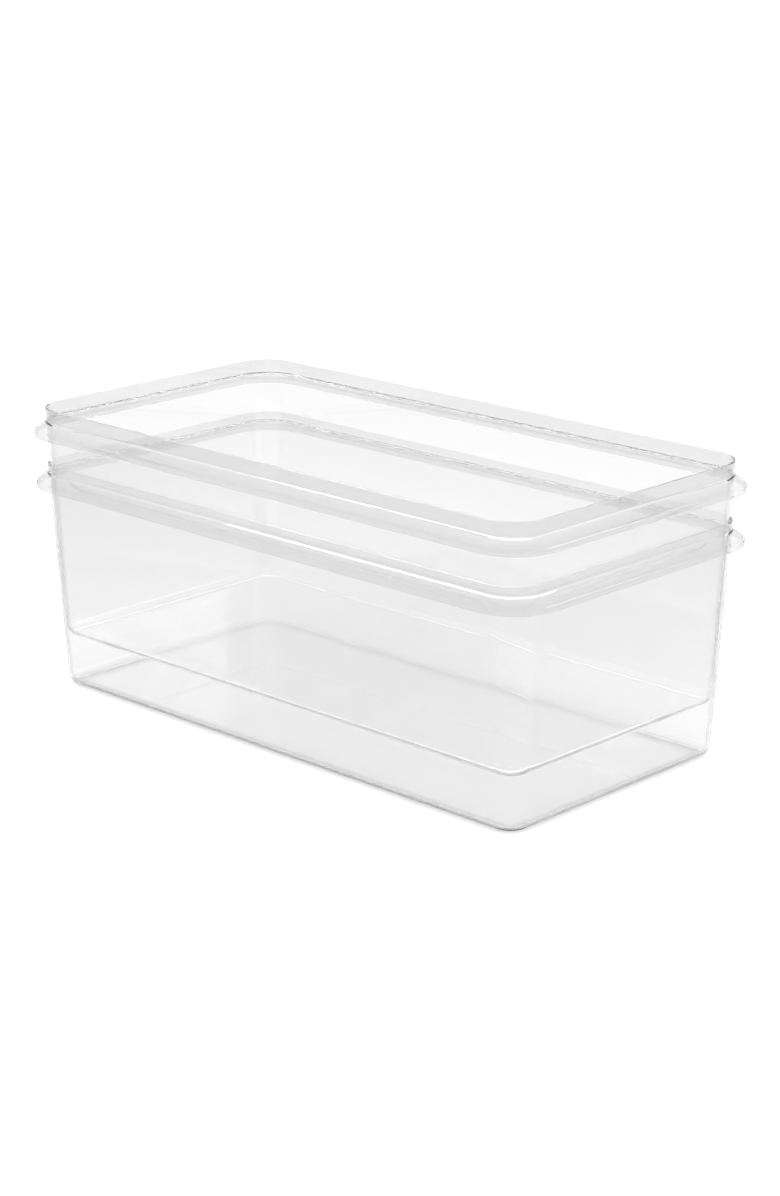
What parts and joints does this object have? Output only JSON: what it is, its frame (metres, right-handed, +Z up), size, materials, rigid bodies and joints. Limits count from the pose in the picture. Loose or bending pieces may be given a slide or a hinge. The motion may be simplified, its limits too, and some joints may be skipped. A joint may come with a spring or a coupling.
{
  "type": "nesting fridge bin",
  "caption": "Long clear plastic fridge bin with drafted walls, upright collar and rolled flange, with a matching bin nested inside that lifts out.",
  "frame": {"origin": "centre of the outer bin's base, on the surface that it stands on", "axes": "+X along the long sides, +Y along the short sides, +Z up out of the bins' mouths"},
  "size_m": [0.3314, 0.1734, 0.144],
  "materials": {
    "outer_bin_plastic": "clear colourless moulded plastic, polished, with fine handling scratches",
    "inner_bin_plastic": "clear colourless moulded plastic, polished, with fine handling scratches"
  },
  "bodies": {
    "outer": {"outer_bin": "outer_bin_plastic"},
    "inner": {"inner_bin": "inner_bin_plastic"}
  },
  "joints": [
    {"name": "inner_bin_lift", "type": "slide", "parent": "outer", "child": "inner", "axis": [0, 0, 1], "range_m": [0, 0.12]}
  ]
}
